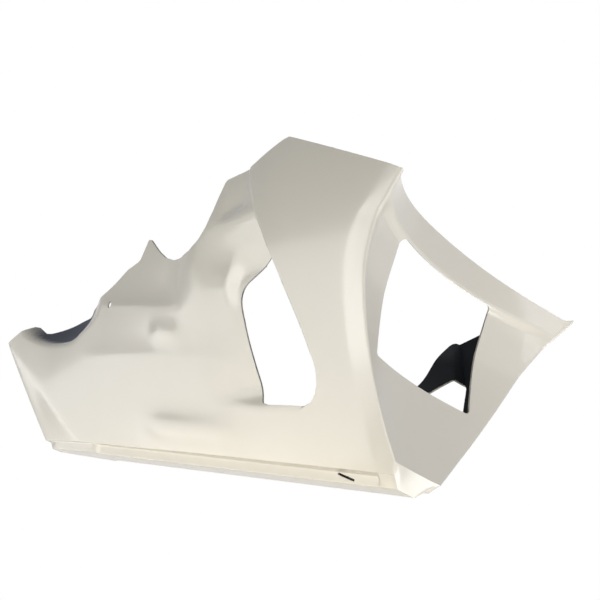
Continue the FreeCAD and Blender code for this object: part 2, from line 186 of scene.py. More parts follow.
# Grid of the moulding: rows and columns, how close they crowd, and how often they are rounded.
SKIRT_ROWS, ROWS, TOP_Z = 5, 88, 362.0
REAR_COLUMNS, FRONT_COLUMNS, ACROSS_COLUMNS = 112, 46, 97
END_STEP = 0.4
LEDGE_POINTS, SIDE_POINTS = 9, 14
FOLD_REACH, FOLD_TURNS, CORNER_REACH, CORNER_TURNS, KEEL_TURNS = 5, 7, 2, 2, 2
REAR_CLEARANCE = 6.0
HOLE_LINES, HOLE_REACH, BAR_LINES = 7, 6.0, 6
EDGE_TURNS, ARC_PIECES = 60, 8
LEAST_CUT, JOIN_DIGITS = 0.15, 3

# Camera, solved from the photograph: angles in degrees, lens for a 36 mm sensor, end of view in metres.
AZIMUTH, ELEVATION, ROLL = 45.2, -18.8, 15.7
LENS = 60.0
DISTANCE = 1342.8
TARGET = (135.1, 0.0, 242.5)
CLIP_END = 50.0

# Finishes, as linear colours.
CREAM, CREAM_DEEP = (0.80, 0.758, 0.655), (0.72, 0.668, 0.555)
# Painted shade for the pipe's dished relief.
RELIEF_SHADE = (0.046, 0.051, 0.080)
LAMINATE, LAMINATE_WARM = (0.009, 0.012, 0.019), (0.022, 0.021, 0.019)
CUT_EDGE = (0.22, 0.22, 0.235)
# Painted shade for what faces down.
DOWN_SHADE = (0.54, 0.50, 0.415)
FLOOR_COLOUR = (0.86, 0.86, 0.86)
WHITE = (1.0, 1.0, 1.0)

# Surfaces: scales of cloud and grain, least and greatest roughness, strength of the bump and its depth in metres.
GELCOAT_SURFACE = {"cloud": 5.0, "grain": 260.0, "rough": (0.16, 0.24), "bump": (0.04, 0.0006)}
LAMINATE_SURFACE = {"cloud": 9.0, "grain": 320.0, "rough": (0.55, 0.8), "bump": (0.12, 0.0004)}
CUT_SURFACE = {"cloud": 60.0, "grain": 700.0, "rough": (0.6, 0.85), "bump": (0.3, 0.0005)}
CLOUD_DETAIL, CLOUD_ROUGHNESS, CLOUD_LOW, CLOUD_HIGH = 4.0, 0.55, 0.3, 0.7
GRAIN_DETAIL = 2.0
CREAM_CLOUD, COAT_WEIGHT, COAT_ROUGHNESS, RELIEF_ROUGHNESS = 0.22, 0.25, 0.12, 0.85
LAMINATE_SHEEN, WEAVE_SCALE, WEAVE_WANDER = 0.08, 60.0, 0.6
FLOOR_ROUGHNESS, FLOOR_GLOW = 0.9, 0.45

# Sockets of a Mix node that mixes colours.
MIX_SHARE, MIX_LOW, MIX_HIGH, MIX_COLOUR = 0, 6, 7, 2

# Light: place and target in metres, width and height of the lamp, power in watts, colour.
LAMPS = {
    "key": ((1.78, -1.62, -2.89), (0.05, 0.0, 0.15), (1.8, 1.8), 80.0, (1.0, 0.99, 0.965)),
    "front fill": ((2.2, -0.2, 0.35), (0.35, 0.0, 0.18), (1.0, 1.4), 8.5, (0.90, 0.90, 1.0)),
    "rear fill": ((-1.6, 2.2, 1.5), (0.0, 0.0, 0.15), (1.6, 1.6), 30.0, WHITE),
    "lip glint": ((1.25, 0.79, -0.21), (0.38, 0.0, 0.01), (0.5, 0.3), 3.0, WHITE),
    "glint": ((0.9, -1.2, 1.0), (0.35, -0.2, 0.28), (0.12, 0.5), 1.0, WHITE),
}

# Cards that only the gloss sees: the sunlit ground behind and beside the moulding.
CARDS = {
    "ground": ((-1.41, -1.335, -1.04), (0.0, -0.1, 0.12), (2.9, 2.1), 46.0, WHITE),
    "side": ((-0.45, -2.10, -0.86), (0.0, -0.1, 0.12), (1.2, 1.6), 20.0, WHITE),
    "rear": ((-1.98, -1.18, 0.07), (-0.3, -0.05, 0.12), (0.9, 0.36), 0.9, WHITE),
}

# Surroundings: colour and strength of the sky as light, half the floor's width in metres.
SKY = (0.93, 0.96, 1.0)
SKY_STRENGTH = 0.17
FLOOR_HALF = 4.0


def smooth(t):
    """Rise from 0 to 1 with level ends: t squared times (3 less 2 t)."""
    t = np.clip(t, 0.0, 1.0)
    return t * t * (3.0 - 2.0 * t)


def ramp(t, rounding):
    """Zero below 0, t above it and a rounded corner: half of t plus the root of t squared plus rounding squared."""
    return 0.5 * (t + np.sqrt(t * t + rounding * rounding))


def mix(low, high, t):
    """Straight mix of two values."""
    return low + (high - low) * t


def joggle_x(z, shift):
    """Place of the joggle: half a straight and half a smooth fall over its drop, a quarter circle back at its foot."""
    drop = np.clip((JOGGLE_TOP[1] - z) / JOGGLE_DROP, 0.0, 1.0)
    curl = np.clip((CURL_Z - z) / CURL_RADIUS, 0.0, 1.0)
    back = CURL_RADIUS * (1.0 - np.sqrt(1.0 - curl ** 2))
    return JOGGLE_TOP[0] + shift + JOGGLE_RUN * (drop + smooth(drop)) / 2.0 - back


def fascia_x(y, z):
    """Front of the fascia: a raked chin and a bar over its height, a square-law bow across, and ends that lean out.

    A share of the bar is a short step, which turns into the bar's own soft rise toward the folds.
    """
    below = np.maximum(WAIST_Z - z, 0.0) / (WAIST_Z - LIP_Z)
    soft_bar = smooth((z - WAIST_Z) / BAR_RISE)
    fade = smooth((np.abs(y) - BAR_STEP_HALF) / BAR_STEP_FADE)
    stepped = mix(smooth((z - BAR_STEP_Z) / BAR_STEP_RISE), soft_bar, fade)
    profile = CHIN_RAKE * below ** CHIN_POWER + (BAR_SET - BAR_STEP) * soft_bar + BAR_STEP * stepped
    across = np.abs(y) / BOW_HALF
    lean = END_LEAN * np.maximum(z - END_LEAN_Z, 0.0) * across ** END_POWER
    return WAIST_X + profile + BOW * across ** 2 + lean


def taper(x):
    """Share of the way from the tail's section to the front's, straight in between and rounded at both ends."""
    rise = ramp(x - TAPER_REAR_X, TAPER_ROUNDING) - ramp(x - TAPER_FRONT_X, TAPER_ROUNDING)
    return rise / (TAPER_FRONT_X - TAPER_REAR_X)


def plain_half_width(x, z):
    """Trough: half-width at the floor plus lean times height plus a parabola of height, all mixed along X."""
    along = taper(x)
    height = (z - FLOOR_Z) / BULGE_HEIGHT
    rounding = mix(TAIL_BULGE, FRONT_BULGE, along) * (1.0 - BULGE_SETTLE - (2.0 * height - 1.0) ** 2)
    return mix(TAIL_HALF_FLOOR, FRONT_HALF_FLOOR, along) + mix(TAIL_LEAN, FRONT_LEAN, along) * (z - FLOOR_Z) + rounding


def gill_inset(back, z):
    """Step at the joggle that fades out behind it, deeper over the gill's height."""
    from_top = smooth((GILL_TOP_Z + GILL_RISE - z) / GILL_RISE)
    from_foot = smooth((z - GILL_END_Z) / GILL_END_RISE)
    depth = JOGGLE_DEPTH * from_foot + (GILL_DEPTH - JOGGLE_DEPTH) * from_top * from_foot
    return depth * smooth(back / JOGGLE_STEP) * smooth(1.0 - back / GILL_RAMP)


def tail_tuck(x, z):
    """Distance behind the tail's crease times its slope, rounded at the crease."""
    run = np.subtract(TUCK_FOOT, TUCK_TOP)
    run = run / np.hypot(*run)
    behind = (x - TUCK_TOP[0]) * run[1] - (z - TUCK_TOP[1]) * run[0]
    return TUCK_SLOPE * ramp(behind, TUCK_ROUNDING)


def strip_tuck(x, z):
    """Turn-in of the strip along the front edge: straight over its width, rounded where it starts."""
    start = fascia_x(plain_half_width(x, z), z) - STRIP_WIDTH
    return STRIP_TUCK * ramp((x - start) / STRIP_WIDTH, STRIP_ROUNDING / STRIP_WIDTH)


def pipe_limit(x, z):
    """Half-width that a bent pipe leaves free: the inner side of a level torus beside the wall."""
    side = plain_half_width(PIPE_X, PIPE_Z) + PIPE_BEND + PIPE_RADIUS - PIPE_BITE
    chord = PIPE_RADIUS ** 2 - (z - PIPE_Z) ** 2
    reach = PIPE_BEND + np.sqrt(np.maximum(chord, 0.0))
    inner = side - np.sqrt(np.maximum(reach ** 2 - (x - PIPE_X) ** 2, 0.0))
    return np.where(chord > 0.0, inner, side) + PIPE_SETTLE * smooth((x - PIPE_END_X) / PIPE_END_RUN)


def swelling(x, z):
    """Sum of tilted bells, flat-topped along their length by a fourth power."""
    total = np.zeros_like(x)
    for centre_x, centre_z, length, height, tilt, rise in SWELLINGS.values():
        turn = math.radians(tilt)
        along = (x - centre_x) * math.cos(turn) + (z - centre_z) * math.sin(turn)
        up = (z - centre_z) * math.cos(turn) - (x - centre_x) * math.sin(turn)
        total += rise * np.exp(-0.5 * ((along / length) ** FLAT_POWER + (up / height) ** 2))
    return total


def creased(x, z):
    """Sum of creases: each draws the wall in by its slope times the height above its line, which dies away upward."""
    total = np.zeros_like(x)
    for rear_x, rear_z, front_x, front_z, slope, fall, rounding, soft in CREASES.values():
        length = math.hypot(front_x - rear_x, front_z - rear_z)
        run = (front_x - rear_x) / length, (front_z - rear_z) / length
        along = (x - rear_x) * run[0] + (z - rear_z) * run[1]
        above = (z - rear_z) * run[0] - (x - rear_x) * run[1]
        ends = smooth(along / soft) * smooth((length - along) / soft)
        total += slope * ends * ramp(above, rounding) * np.exp(-np.maximum(above, 0.0) / fall)
    return total


def scoop(x, z):
    """Ridge round the gill: it rises evenly with distance from the opening, then dies away, with a rounded crest."""
    outline = gill_outline(GILL_TOP_Z, GILL_FOOT_Z, 0.0, SCOOP_REAR_TOP, GILL_REAR_FOOT, GILL_HIGH_RADIUS)
    away = -inside(x, z, outline)
    past = ramp(away - SCOOP_WIDTH, SCOOP_ROUNDING)
    rise = SCOOP_RISE * np.clip((away - past) / SCOOP_WIDTH, 0.0, 1.0) * np.exp(-past / SCOOP_FALL)
    behind = smooth((joggle_x(z, 0.0) - x) / JOGGLE_STEP)
    return rise * behind * smooth((z - SCOOP_FOOT_Z) / (SCOOP_FULL_Z - SCOOP_FOOT_Z))


def half_width(x, z, side):
    """Finished wall: the trough with its flare and modelling, less its insets, or the pipe's limit where that is less.

    The lesser of the two is half their sum less the root of their difference squared, rounded where they cross.
    """
    inset = gill_inset(joggle_x(z, side["shift"]) - x, z) + tail_tuck(x, z) + strip_tuck(x, z)
    wall = plain_half_width(x, z) + side["flare"] * taper(x) - inset
    if side["modelled"]:
        wall = wall + swelling(x, z) - creased(x, z) + scoop(x, z)
    limit = pipe_limit(x, z)
    return 0.5 * (wall + limit - np.sqrt((wall - limit) ** 2 + 4.0 * PIPE_ROUNDING ** 2))


def graded(count, end):
    """Steps from 0 to 1 drawn closer at both ends: s less a sine, so that the end steps are a share of the even one."""
    s = np.linspace(0.0, 1.0, count)
    return s - (1.0 - end) * np.sin(2.0 * math.pi * s) / (2.0 * math.pi)


def crowded(count, start):
    """Steps from 0 to 1 that grow evenly from that share of the even step."""
    s = np.linspace(0.0, 1.0, count)
    return start * s + (1.0 - start) * s * s


def front_edge(z, side):
    """Where a wall meets the fascia: X put back into the fascia's formula until it stays."""
    x = np.full_like(z, TIP[0])
    for _ in range(EDGE_TURNS):
        x = 0.5 * (x + fascia_x(half_width(x, z, side), z))
    return x


def keel_profile(x, right_half, left_half):
    """Section of the underside at stations along X: ledge, sloping keel side and keel bottom, as Y and Z across.

    The keel is as wide as its pad at the tail, then of even width, and wider above its foot under the nose.
    """
    half = np.minimum(right_half, left_half)
    into = np.clip(PAD_RADIUS - (PAD_FRONT_X - x), 0.0, PAD_RADIUS)
    pad = mix(PAD_REAR_HALF, PAD_HALF, np.clip((x - PAD_REAR_X) / (PAD_FRONT_X - PAD_REAR_X), 0.0, 1.0))
    pad = np.where(x < PAD_FRONT_X, pad - PAD_RADIUS + np.sqrt(PAD_RADIUS ** 2 - into ** 2), 0.0)
    foot = np.minimum(np.maximum(pad, np.where(x > KEEL_REAR_X, KEEL_HALF, 0.0)), half - LEDGE)
    top = foot + KEEL_DRAFT + (NOSE_HALF - KEEL_HALF) * smooth((x - NOSE_REAR_X) / STEP_RUN)
    top = np.minimum(top, half - LEDGE)
    low = FLOOR_Z * (1.0 - smooth((x - PAD_REAR_X) / STEP_RUN))
    bottom_points = (ACROSS_COLUMNS + 1) // 2 - LEDGE_POINTS - SIDE_POINTS
    ledge = np.linspace(0.0, 1.0, LEDGE_POINTS, endpoint=False)
    side = np.linspace(0.0, 1.0, SIDE_POINTS, endpoint=False)
    bottom = np.linspace(0.0, 1.0, bottom_points)
    across = []
    for edge in (right_half, left_half):
        spans = [(edge, top, ledge), (top, foot, side), (foot, 0.0 * foot, bottom)]
        across.append(np.concatenate([mix(a[:, None], b[:, None], t[None, :]) for a, b, t in spans], axis=1))
    level = np.full_like(foot, FLOOR_Z)
    spans = [(level, level, ledge), (level, low, side), (low, low, bottom)]
    z = np.concatenate([mix(a[:, None], b[:, None], t[None, :]) for a, b, t in spans], axis=1)
    return np.hstack([-across[0], across[1][:, -2::-1]]), np.hstack([z, z[:, -2::-1]])


def lip_x(z):
    """Front of the lip, which slopes back to its foot."""
    return LIP_X - (LIP_X - LIP_FOOT_X) * (LIP_Z - z) / LIP_Z


def wall_sheet(z, side):
    """One wall as points over rows of height and columns from the transom to the fold.

    The columns part the run from transom to joggle, and from joggle to fold, in graded shares, with more at the hole.
    """
    rake = (TAIL_TOP[0] - TAIL_FOOT[0]) / (TAIL_TOP[1] - TAIL_FOOT[1])
    rear = np.maximum(TAIL_FOOT[0] + rake * (z - TAIL_FOOT[1]), TAIL_TOP[0] - REAR_CLEARANCE)
    steady = smooth((z - FLOOR_Z) / GILL_RISE)
    middle = joggle_x(z, mix(LEFT_SHIFT / 2.0, side["shift"], steady))
    front = front_edge(np.maximum(z, LIP_Z), side)
    front = np.where(z < LIP_Z, mix(lip_x(FLOOR_Z), front, (z - FLOOR_Z) / (LIP_Z - FLOOR_Z)), front)
    row = np.argmin(np.abs(z - HOLE[1]))
    at_hole = HOLE[0] + np.linspace(-HOLE_REACH, HOLE_REACH, HOLE_LINES)
    at_hole = (at_hole - middle[row]) / (rear[row] - middle[row])
    shares = np.sort(np.concatenate([crowded(REAR_COLUMNS - HOLE_LINES, END_STEP), at_hole]))
    to_joggle = mix(middle[:, None], rear[:, None], shares[None, ::-1])
    to_fold = mix(middle[:, None], front[:, None], graded(FRONT_COLUMNS, END_STEP)[None, 1:])
    x = np.hstack([to_joggle, to_fold])
    heights = np.broadcast_to(z[:, None], x.shape)
    return np.stack([x, side["sign"] * half_width(x, heights, side), heights], axis=-1)


def fascia_sheet(z, right_edge, left_edge):
    """Fascia between the folds: Y in graded shares across, X from the fascia's formula, then down to the lip's foot."""
    share = graded(ACROSS_COLUMNS, END_STEP)[None, :]
    y = mix(right_edge[:, None], left_edge[:, None], share)
    heights = np.maximum(np.broadcast_to(z[:, None], y.shape), LIP_Z)
    face = np.stack([fascia_x(y, heights), y, heights], axis=-1)
    foot_y, foot_z = keel_profile(np.array([LIP_X]), -right_edge[:1], left_edge[:1])
    foot = np.stack([lip_x(foot_z[0]), foot_y[0], foot_z[0]], axis=-1)
    down = np.clip((LIP_Z - z) / (LIP_Z - FLOOR_Z), 0.0, 1.0)[:, None, None]
    return mix(face, foot[None], down)


def rounded_along(points, centres, reach, turns):
    """Points of a closed ring averaged with their neighbours, a few turns, near the given columns."""
    count = points.shape[1]
    columns = np.arange(count)
    away = np.min([np.abs((columns - c + count // 2) % count - count // 2) for c in centres], axis=0)
    weight = np.clip(reach + 1 - away, 0.0, 1.0)[None, :, None]
    for _ in range(turns):
        middle = 0.5 * (np.roll(points, 1, axis=1) + np.roll(points, -1, axis=1))
        points = points + 0.5 * weight * (middle - points)
    return points


def ring_spans(along):
    """Columns of the ring: right wall, fascia and left wall, where a wall has that many; the rest is the transom."""
    left = along + ACROSS_COLUMNS - 2
    return slice(0, along), slice(along, left), slice(left, left + along)


def ring_points():
    """The whole ring: right wall to the front, fascia to the left, left wall to the rear, transom to the right.

    It is rounded at the folds and at the tail's corners, and has more rows at the hole and at the bar's step.
    """
    at_hole = HOLE[1] + np.linspace(-HOLE_REACH, HOLE_REACH, HOLE_LINES)
    at_bar = np.linspace(BAR_STEP_Z, BAR_STEP_Z + BAR_STEP_RISE, BAR_LINES)
    rows = np.sort(np.concatenate([np.linspace(LIP_Z, TOP_Z, ROWS - HOLE_LINES), at_hole, at_bar]))
    z = np.concatenate([np.linspace(FLOOR_Z, LIP_Z, SKIRT_ROWS, endpoint=False), rows])
    right, left = wall_sheet(z, RIGHT), wall_sheet(z, LEFT)
    front = fascia_sheet(z, right[:, -1, 1], left[:, -1, 1])
    share = np.linspace(0.0, 1.0, ACROSS_COLUMNS)[None, :, None]
    rear = mix(left[:, :1], right[:, :1], share)
    ring = np.concatenate([right, front[:, 1:-1], left[:, ::-1], rear[:, 1:-1]], axis=1)
    along = right.shape[1]
    _, _, span = ring_spans(along)
    folds = (along - 1, span.start)
    corners = (0, span.stop - 1)
    ring = rounded_along(ring, folds, FOLD_REACH, FOLD_TURNS)
    return rounded_along(ring, corners, CORNER_REACH, CORNER_TURNS), along


def floor_points(ring, along):
    """Underside between the lowest rows of the two walls: the keel's section, a little rounded, carried along X."""
    right_span, _, left_span = ring_spans(along)
    right, left = ring[0, right_span], ring[0, left_span][::-1]
    y, z = keel_profile(right[:, 0], -right[:, 1], left[:, 1])
    for _ in range(KEEL_TURNS):
        y[:, 1:-1] = 0.25 * (y[:, :-2] + 2.0 * y[:, 1:-1] + y[:, 2:])
        z[:, 1:-1] = 0.25 * (z[:, :-2] + 2.0 * z[:, 1:-1] + z[:, 2:])
    rear, front = right[0, 0], right[-1, 0]
    share = (right[:, :1] - rear) / (front - rear)
    x = mix(rear, lip_x(z), share)
    points = np.stack([x, y, z], axis=-1)
    points[:, 0], points[:, -1] = right, left
    points[-1] = ring[0, along - 1:along + ACROSS_COLUMNS - 1]
    points[0] = np.roll(ring[0], -1, axis=0)[-ACROSS_COLUMNS:][::-1]
    return points


def unit(vectors):
    """Vectors of length one."""
    return vectors / np.maximum(np.linalg.norm(vectors, axis=-1, keepdims=True), LEAST_LENGTH)


def rounded_polygon(corners):
    """Outline of (u, v, radius) corners: a point where the radius is 0, and else an arc that touches both sides."""
    flat = np.array([c[:2] for c in corners])
    outline = []
    for i, here in enumerate(flat):
        radius = corners[i][2]
        if radius == 0.0:
            outline.append(here[None])
            continue
        back, on = unit(flat[i - 1] - here), unit(flat[(i + 1) % len(flat)] - here)
        half = math.acos(float(np.clip(back @ on, -1.0, 1.0))) / 2.0
        middle, side = unit(back + on), unit(on - back)
        centre = here + middle * radius / math.sin(half)
        sweep = np.linspace(half - math.pi / 2.0, math.pi / 2.0 - half, ARC_PIECES)
        outline.append(centre + radius * (-np.cos(sweep)[:, None] * middle + np.sin(sweep)[:, None] * side))
    return np.concatenate(outline)


def inside(u, v, polygon):
    """Signed distance to a polygon's outline, positive inside it: nearest side, with the sign by crossings."""
    nearest = np.full(u.shape, np.inf)
    crossings = np.zeros(u.shape, bool)
    for a, b in zip(polygon, np.roll(polygon, -1, axis=0)):
        run = b - a
        share = np.clip(((u - a[0]) * run[0] + (v - a[1]) * run[1]) / (run @ run), 0.0, 1.0)
        nearest = np.minimum(nearest, np.hypot(u - a[0] - share * run[0], v - a[1] - share * run[1]))
        if run[1] != 0.0:
            spans = (a[1] > v) != (b[1] > v)
            crossings ^= spans & (u < a[0] + run[0] * (v - a[1]) / run[1])
    return np.where(crossings, nearest, -nearest)


def corner(place, radius):
    """A (u, v, radius) corner."""
    return (*place, radius)


def right_outline():
    """Side view of the right-hand wall, the fascia's ends and the transom, run on past tail, tip and floor."""
    rise = (EAR[1] - TAIL_TOP[1]) / (EAR[0] - TAIL_TOP[0])
    corners = [(TAIL_TOP[0] - FAR, -FAR, 0.0), (TAIL_TOP[0] - FAR, TAIL_TOP[1] - FAR * rise, 0.0)]
    corners += [corner(EAR, 0.0), corner(PIPE_DIP, PIPE_EDGE_RADIUS), corner(PIPE_RISE, PIPE_EDGE_RADIUS)]
    corners += [corner(PIPE_EDGE, PIPE_EDGE_RADIUS), corner(KNEE, CORNER_RADIUS)]
    corners += [corner(HORN_FOOT, CORNER_RADIUS), corner(HORN, 0.0), corner(COVER, COVER_RADIUS)]
    corners += [corner(SHOULDER, CORNER_RADIUS), corner(JOGGLE_TOP, CORNER_RADIUS), corner(APEX, CORNER_RADIUS)]
    corners += [(TIP[0] + FAR, TIP[1] - FRONT_SLOPE * FAR, 0.0), (TIP[0] + FAR, -FAR, 0.0)]
    return rounded_polygon(corners)


def left_dip():
    """Side view of what is missing above the lower top edge of the left-hand wall."""
    corners = [(PIPE_RISE[0], PIPE_EDGE[1] + DIP_RISE, 0.0), corner(DIP_REAR, DIP_RADIUS), corner(DIP_FOOT, DIP_RADIUS)]
    corners += [corner(DIP_FRONT, DIP_RADIUS), corner(BROW_REAR, CORNER_RADIUS), corner(BROW_FRONT, CORNER_RADIUS)]
    slope = (TIP[1] - BROW_FRONT[1]) / (TIP[0] - BROW_FRONT[0])
    corners += [(TIP[0] + FAR, TIP[1] + slope * FAR, 0.0), (TIP[0] + FAR, TOP_Z + FAR, 0.0)]
    return rounded_polygon(corners + [(PIPE_RISE[0], TOP_Z + FAR, 0.0)])


def gill_outline(top_z, foot_z, shift, rear_top, rear_foot, rear_radius):
    """Side view of a gill, its front edge along the joggle."""
    corners = [(float(joggle_x(top_z, shift)) + GILL_OVERLAP, top_z, CORNER_RADIUS)]
    corners += [(float(joggle_x(CURL_Z, shift)) + GILL_OVERLAP, CURL_Z, CORNER_RADIUS)]
    corners += [(float(joggle_x(CURL_Z, shift)) + GILL_OVERLAP, foot_z, GILL_LOW_RADIUS)]
    corners += [corner(rear_foot, CORNER_RADIUS), corner(rear_top, rear_radius)]
    return rounded_polygon(corners)


def mouth_outline():
    """Front view of the mouth, square at the chin and rounded under the bar."""
    corners = [(-MOUTH_FOOT_HALF, CHIN_Z, 0.0), (MOUTH_FOOT_HALF, CHIN_Z, 0.0)]
    corners += [(MOUTH_TOP_HALF, MOUTH_TOP_Z, MOUTH_RADIUS), (-MOUTH_TOP_HALF, MOUTH_TOP_Z, MOUTH_RADIUS)]
    return rounded_polygon(corners)


def ring_keep(ring, along):
    """How far each point of the ring lies inside what is kept: below the top edges and outside the openings."""
    right, front, left = ring_spans(along)
    keep = inside(ring[..., 0], ring[..., 2], right_outline())

    x, z = ring[:, right, 0], ring[:, right, 2]
    gill = gill_outline(GILL_PEAK_Z, GILL_FOOT_Z, 0.0, GILL_REAR_TOP, GILL_REAR_FOOT, GILL_HIGH_RADIUS)
    opening = np.minimum(inside(x, z, gill), joggle_x(z, 0.0) + PANEL_EDGE - x)
    hole = HOLE_RADIUS - np.hypot(x - HOLE[0], z - HOLE[1])
    keep[:, right] = np.minimum(keep[:, right], -np.maximum(opening, hole))

    x, z = ring[:, left, 0], ring[:, left, 2]
    gill = gill_outline(LEFT_GILL_TOP_Z, LEFT_GILL_FOOT_Z, LEFT_SHIFT, LEFT_GILL_REAR_TOP, LEFT_GILL_REAR_FOOT,
                        CORNER_RADIUS)
    missing = np.maximum(inside(x, z, left_dip()), inside(x, z, gill))
    keep[:, left] = np.minimum(keep[:, left], -missing)

    x, y, z = np.moveaxis(ring[:, front], -1, 0)
    inward = np.minimum(y - ring[:, front.start - 1, 1][:, None], ring[:, front.stop, 1][:, None] - y)
    top = APEX[1] - FRONT_SLOPE * (x - APEX[0]) - FASCIA_DROP * smooth(inward / FASCIA_BLEND)
    keep[:, front] = np.minimum(top - z, -inside(y, z, mouth_outline()))
    return keep


def floor_keep(points):
    """How far each point of the underside lies outside the slanting drain slot in the keel's right-hand side."""
    x, y, z = points[..., 0], points[..., 1], points[..., 2]
    turn = math.radians(DRAIN_TILT)
    along = (x - DRAIN_X) * math.cos(turn) - (z - DRAIN_Z) * math.sin(turn)
    up = (z - DRAIN_Z) * math.cos(turn) + (x - DRAIN_X) * math.sin(turn)
    past = np.maximum(np.abs(along) - (DRAIN_LENGTH - DRAIN_HEIGHT) / 2.0, 0.0)
    slot = np.hypot(past, up) - DRAIN_HEIGHT / 2.0
    return np.where(y < 0.0, slot, DRAIN_LENGTH)


def grid_triangles(rows, columns, closed):
    """Two triangles for each cell of a grid, counter-clockwise over columns then rows."""
    r, c = np.meshgrid(np.arange(rows - 1), np.arange(columns if closed else columns - 1), indexing="ij")
    on = (c + 1) % columns
    a, b, d, e = r * columns + c, r * columns + on, (r + 1) * columns + on, (r + 1) * columns + c
    return np.concatenate([np.stack([a, b, d], -1).reshape(-1, 3), np.stack([a, d, e], -1).reshape(-1, 3)])


def trimmed(data, triangles, keep):
    """Triangles cut where keep passes zero: each new corner's values are mixed by its share of the way along its side.

    Points that all but touch the cut are kept, so that it leaves no slivers.
    """
    keep = np.where(np.abs(keep) < LEAST_CUT, LEAST_CUT, keep)
    kept = keep > 0.0
    count = kept[triangles].sum(axis=1)
    faces = [triangles[count == 3]]
    crossed = (count == 1) | (count == 2)
    cut = triangles[crossed]
    odd = np.where((count[crossed] == 1)[:, None], kept[cut], ~kept[cut])
    turn = np.argmax(odd, axis=1)
    cut = np.stack([cut[np.arange(len(cut)), (turn + k) % 3] for k in range(3)], axis=1)
    lone = kept[cut[:, 0]]
    pairs = np.stack([cut[:, [0, 1]], cut[:, [0, 2]]], axis=1).reshape(-1, 2)
    pairs = np.sort(pairs, axis=1)
    edges, place = np.unique(pairs, axis=0, return_inverse=True)
    share = keep[edges[:, 0]] / (keep[edges[:, 0]] - keep[edges[:, 1]])
    added = mix(data[edges[:, 0]], data[edges[:, 1]], share[:, None])
    place = place.reshape(-1, 2) + len(data)
    faces.append(np.stack([cut[lone, 0], place[lone, 0], place[lone, 1]], axis=1))
    faces.append(np.stack([cut[~lone, 1], cut[~lone, 2], place[~lone, 1]], axis=1))
    faces.append(np.stack([cut[~lone, 1], place[~lone, 1], place[~lone, 0]], axis=1))
    return np.concatenate([data, added]), np.concatenate(faces)


def used_only(data, triangles):
    """Values of the points that the triangles use, and the triangles on their new places."""
    used, place = np.unique(triangles, return_inverse=True)
    return data[used], place.reshape(-1, 3)


def ring_normals(ring):
    """Outward normals of the ring: the step along it crossed with the step up it."""
    along = np.roll(ring, -1, axis=1) - np.roll(ring, 1, axis=1)
    return unit(np.cross(along, np.gradient(ring, axis=0)))


def lip_normals(ring, along):
    """Normals of the ring below and above the lip's edge, taken apart across the front so that the edge is crisp."""
    plain = ring_normals(ring)
    _, front, _ = ring_spans(along)
    below, above = slice(0, SKIRT_ROWS + 1), slice(SKIRT_ROWS, None)
    low, high = plain[below].copy(), plain[above].copy()
    low[:, front], high[:, front] = ring_normals(ring[below])[:, front], ring_normals(ring[above])[:, front]
    return low, high


def floor_normals(points):
    """Outward normals of the underside: the step across it crossed with the step along it."""
    return unit(np.cross(np.gradient(points, axis=1), np.gradient(points, axis=0)))


def relief_shade_share(points):
    """How much painted shade the pipe's dished relief gets, from 0 to 1, less toward the tail and none past its front.
    """
    x, z = points[:, 0], points[:, 2]
    wall = plain_half_width(x, z) - tail_tuck(x, z)
    shade_left = 1.0 - RELIEF_SHADE_LOSS * smooth((RELIEF_SHADE_REAR_X - x) / RELIEF_SHADE_RUN)
    return shade_left * smooth((wall - pipe_limit(x, z)) / RELIEF_SHADE_DEPTH) * smooth((RELIEF_SHADE_FRONT_X + RELIEF_SHADE_FADE - x) / RELIEF_SHADE_FADE)


def down_shade_share(normals):
    """How much painted shade a point gets for facing down, from 0 on the walls to 1 under the keel and its ledges."""
    return smooth((-normals[:, 2] - DOWN_SHADE_START) / DOWN_SHADE_RUN)


def moulding_mesh():
    """Outer skin as trimmed sheets: points, normals to shade and to offset by, first twin of each point, triangles."""
    ring, along = ring_points()
    under = floor_points(ring, along)
    plain, keep = ring_normals(ring), ring_keep(ring, along)
    low, high = lip_normals(ring, along)
    row = SKIRT_ROWS
    parts = [(ring[:row + 1], low, plain[:row + 1], keep[:row + 1], True)]
    parts += [(ring[row:], high, plain[row:], keep[row:], True)]
    parts += [(under, floor_normals(under), floor_normals(under), floor_keep(under), False)]
    sheets, triangles, total = [], [], 0
    for points, shade, offset, kept, closed in parts:
        data = np.concatenate([points, shade, offset], axis=-1).reshape(-1, 9)
        faces = grid_triangles(*points.shape[:2], closed)
        data, faces = used_only(*trimmed(data, faces, kept.reshape(-1)))
        sheets.append(data)
        triangles.append(faces + total)
        total += len(data)
    data, outer = np.concatenate(sheets), np.concatenate(triangles)
    _, first, same = np.unique(np.round(data[:, :3], JOIN_DIGITS), axis=0, return_index=True, return_inverse=True)
    return data[:, :3], unit(data[:, 3:6]), unit(data[:, 6:]), first[same.reshape(-1)], outer


def open_edges(joined, outer):
    """Edges that only one triangle uses, in that triangle's order."""
    edges = joined[np.concatenate([outer[:, [0, 1]], outer[:, [1, 2]], outer[:, [2, 0]]])]
    keys = np.sort(edges, axis=1)
    _, place, uses = np.unique(keys, axis=0, return_inverse=True, return_counts=True)
    return edges[(uses[place.reshape(-1)] == 1) & (keys[:, 0] != keys[:, 1])]


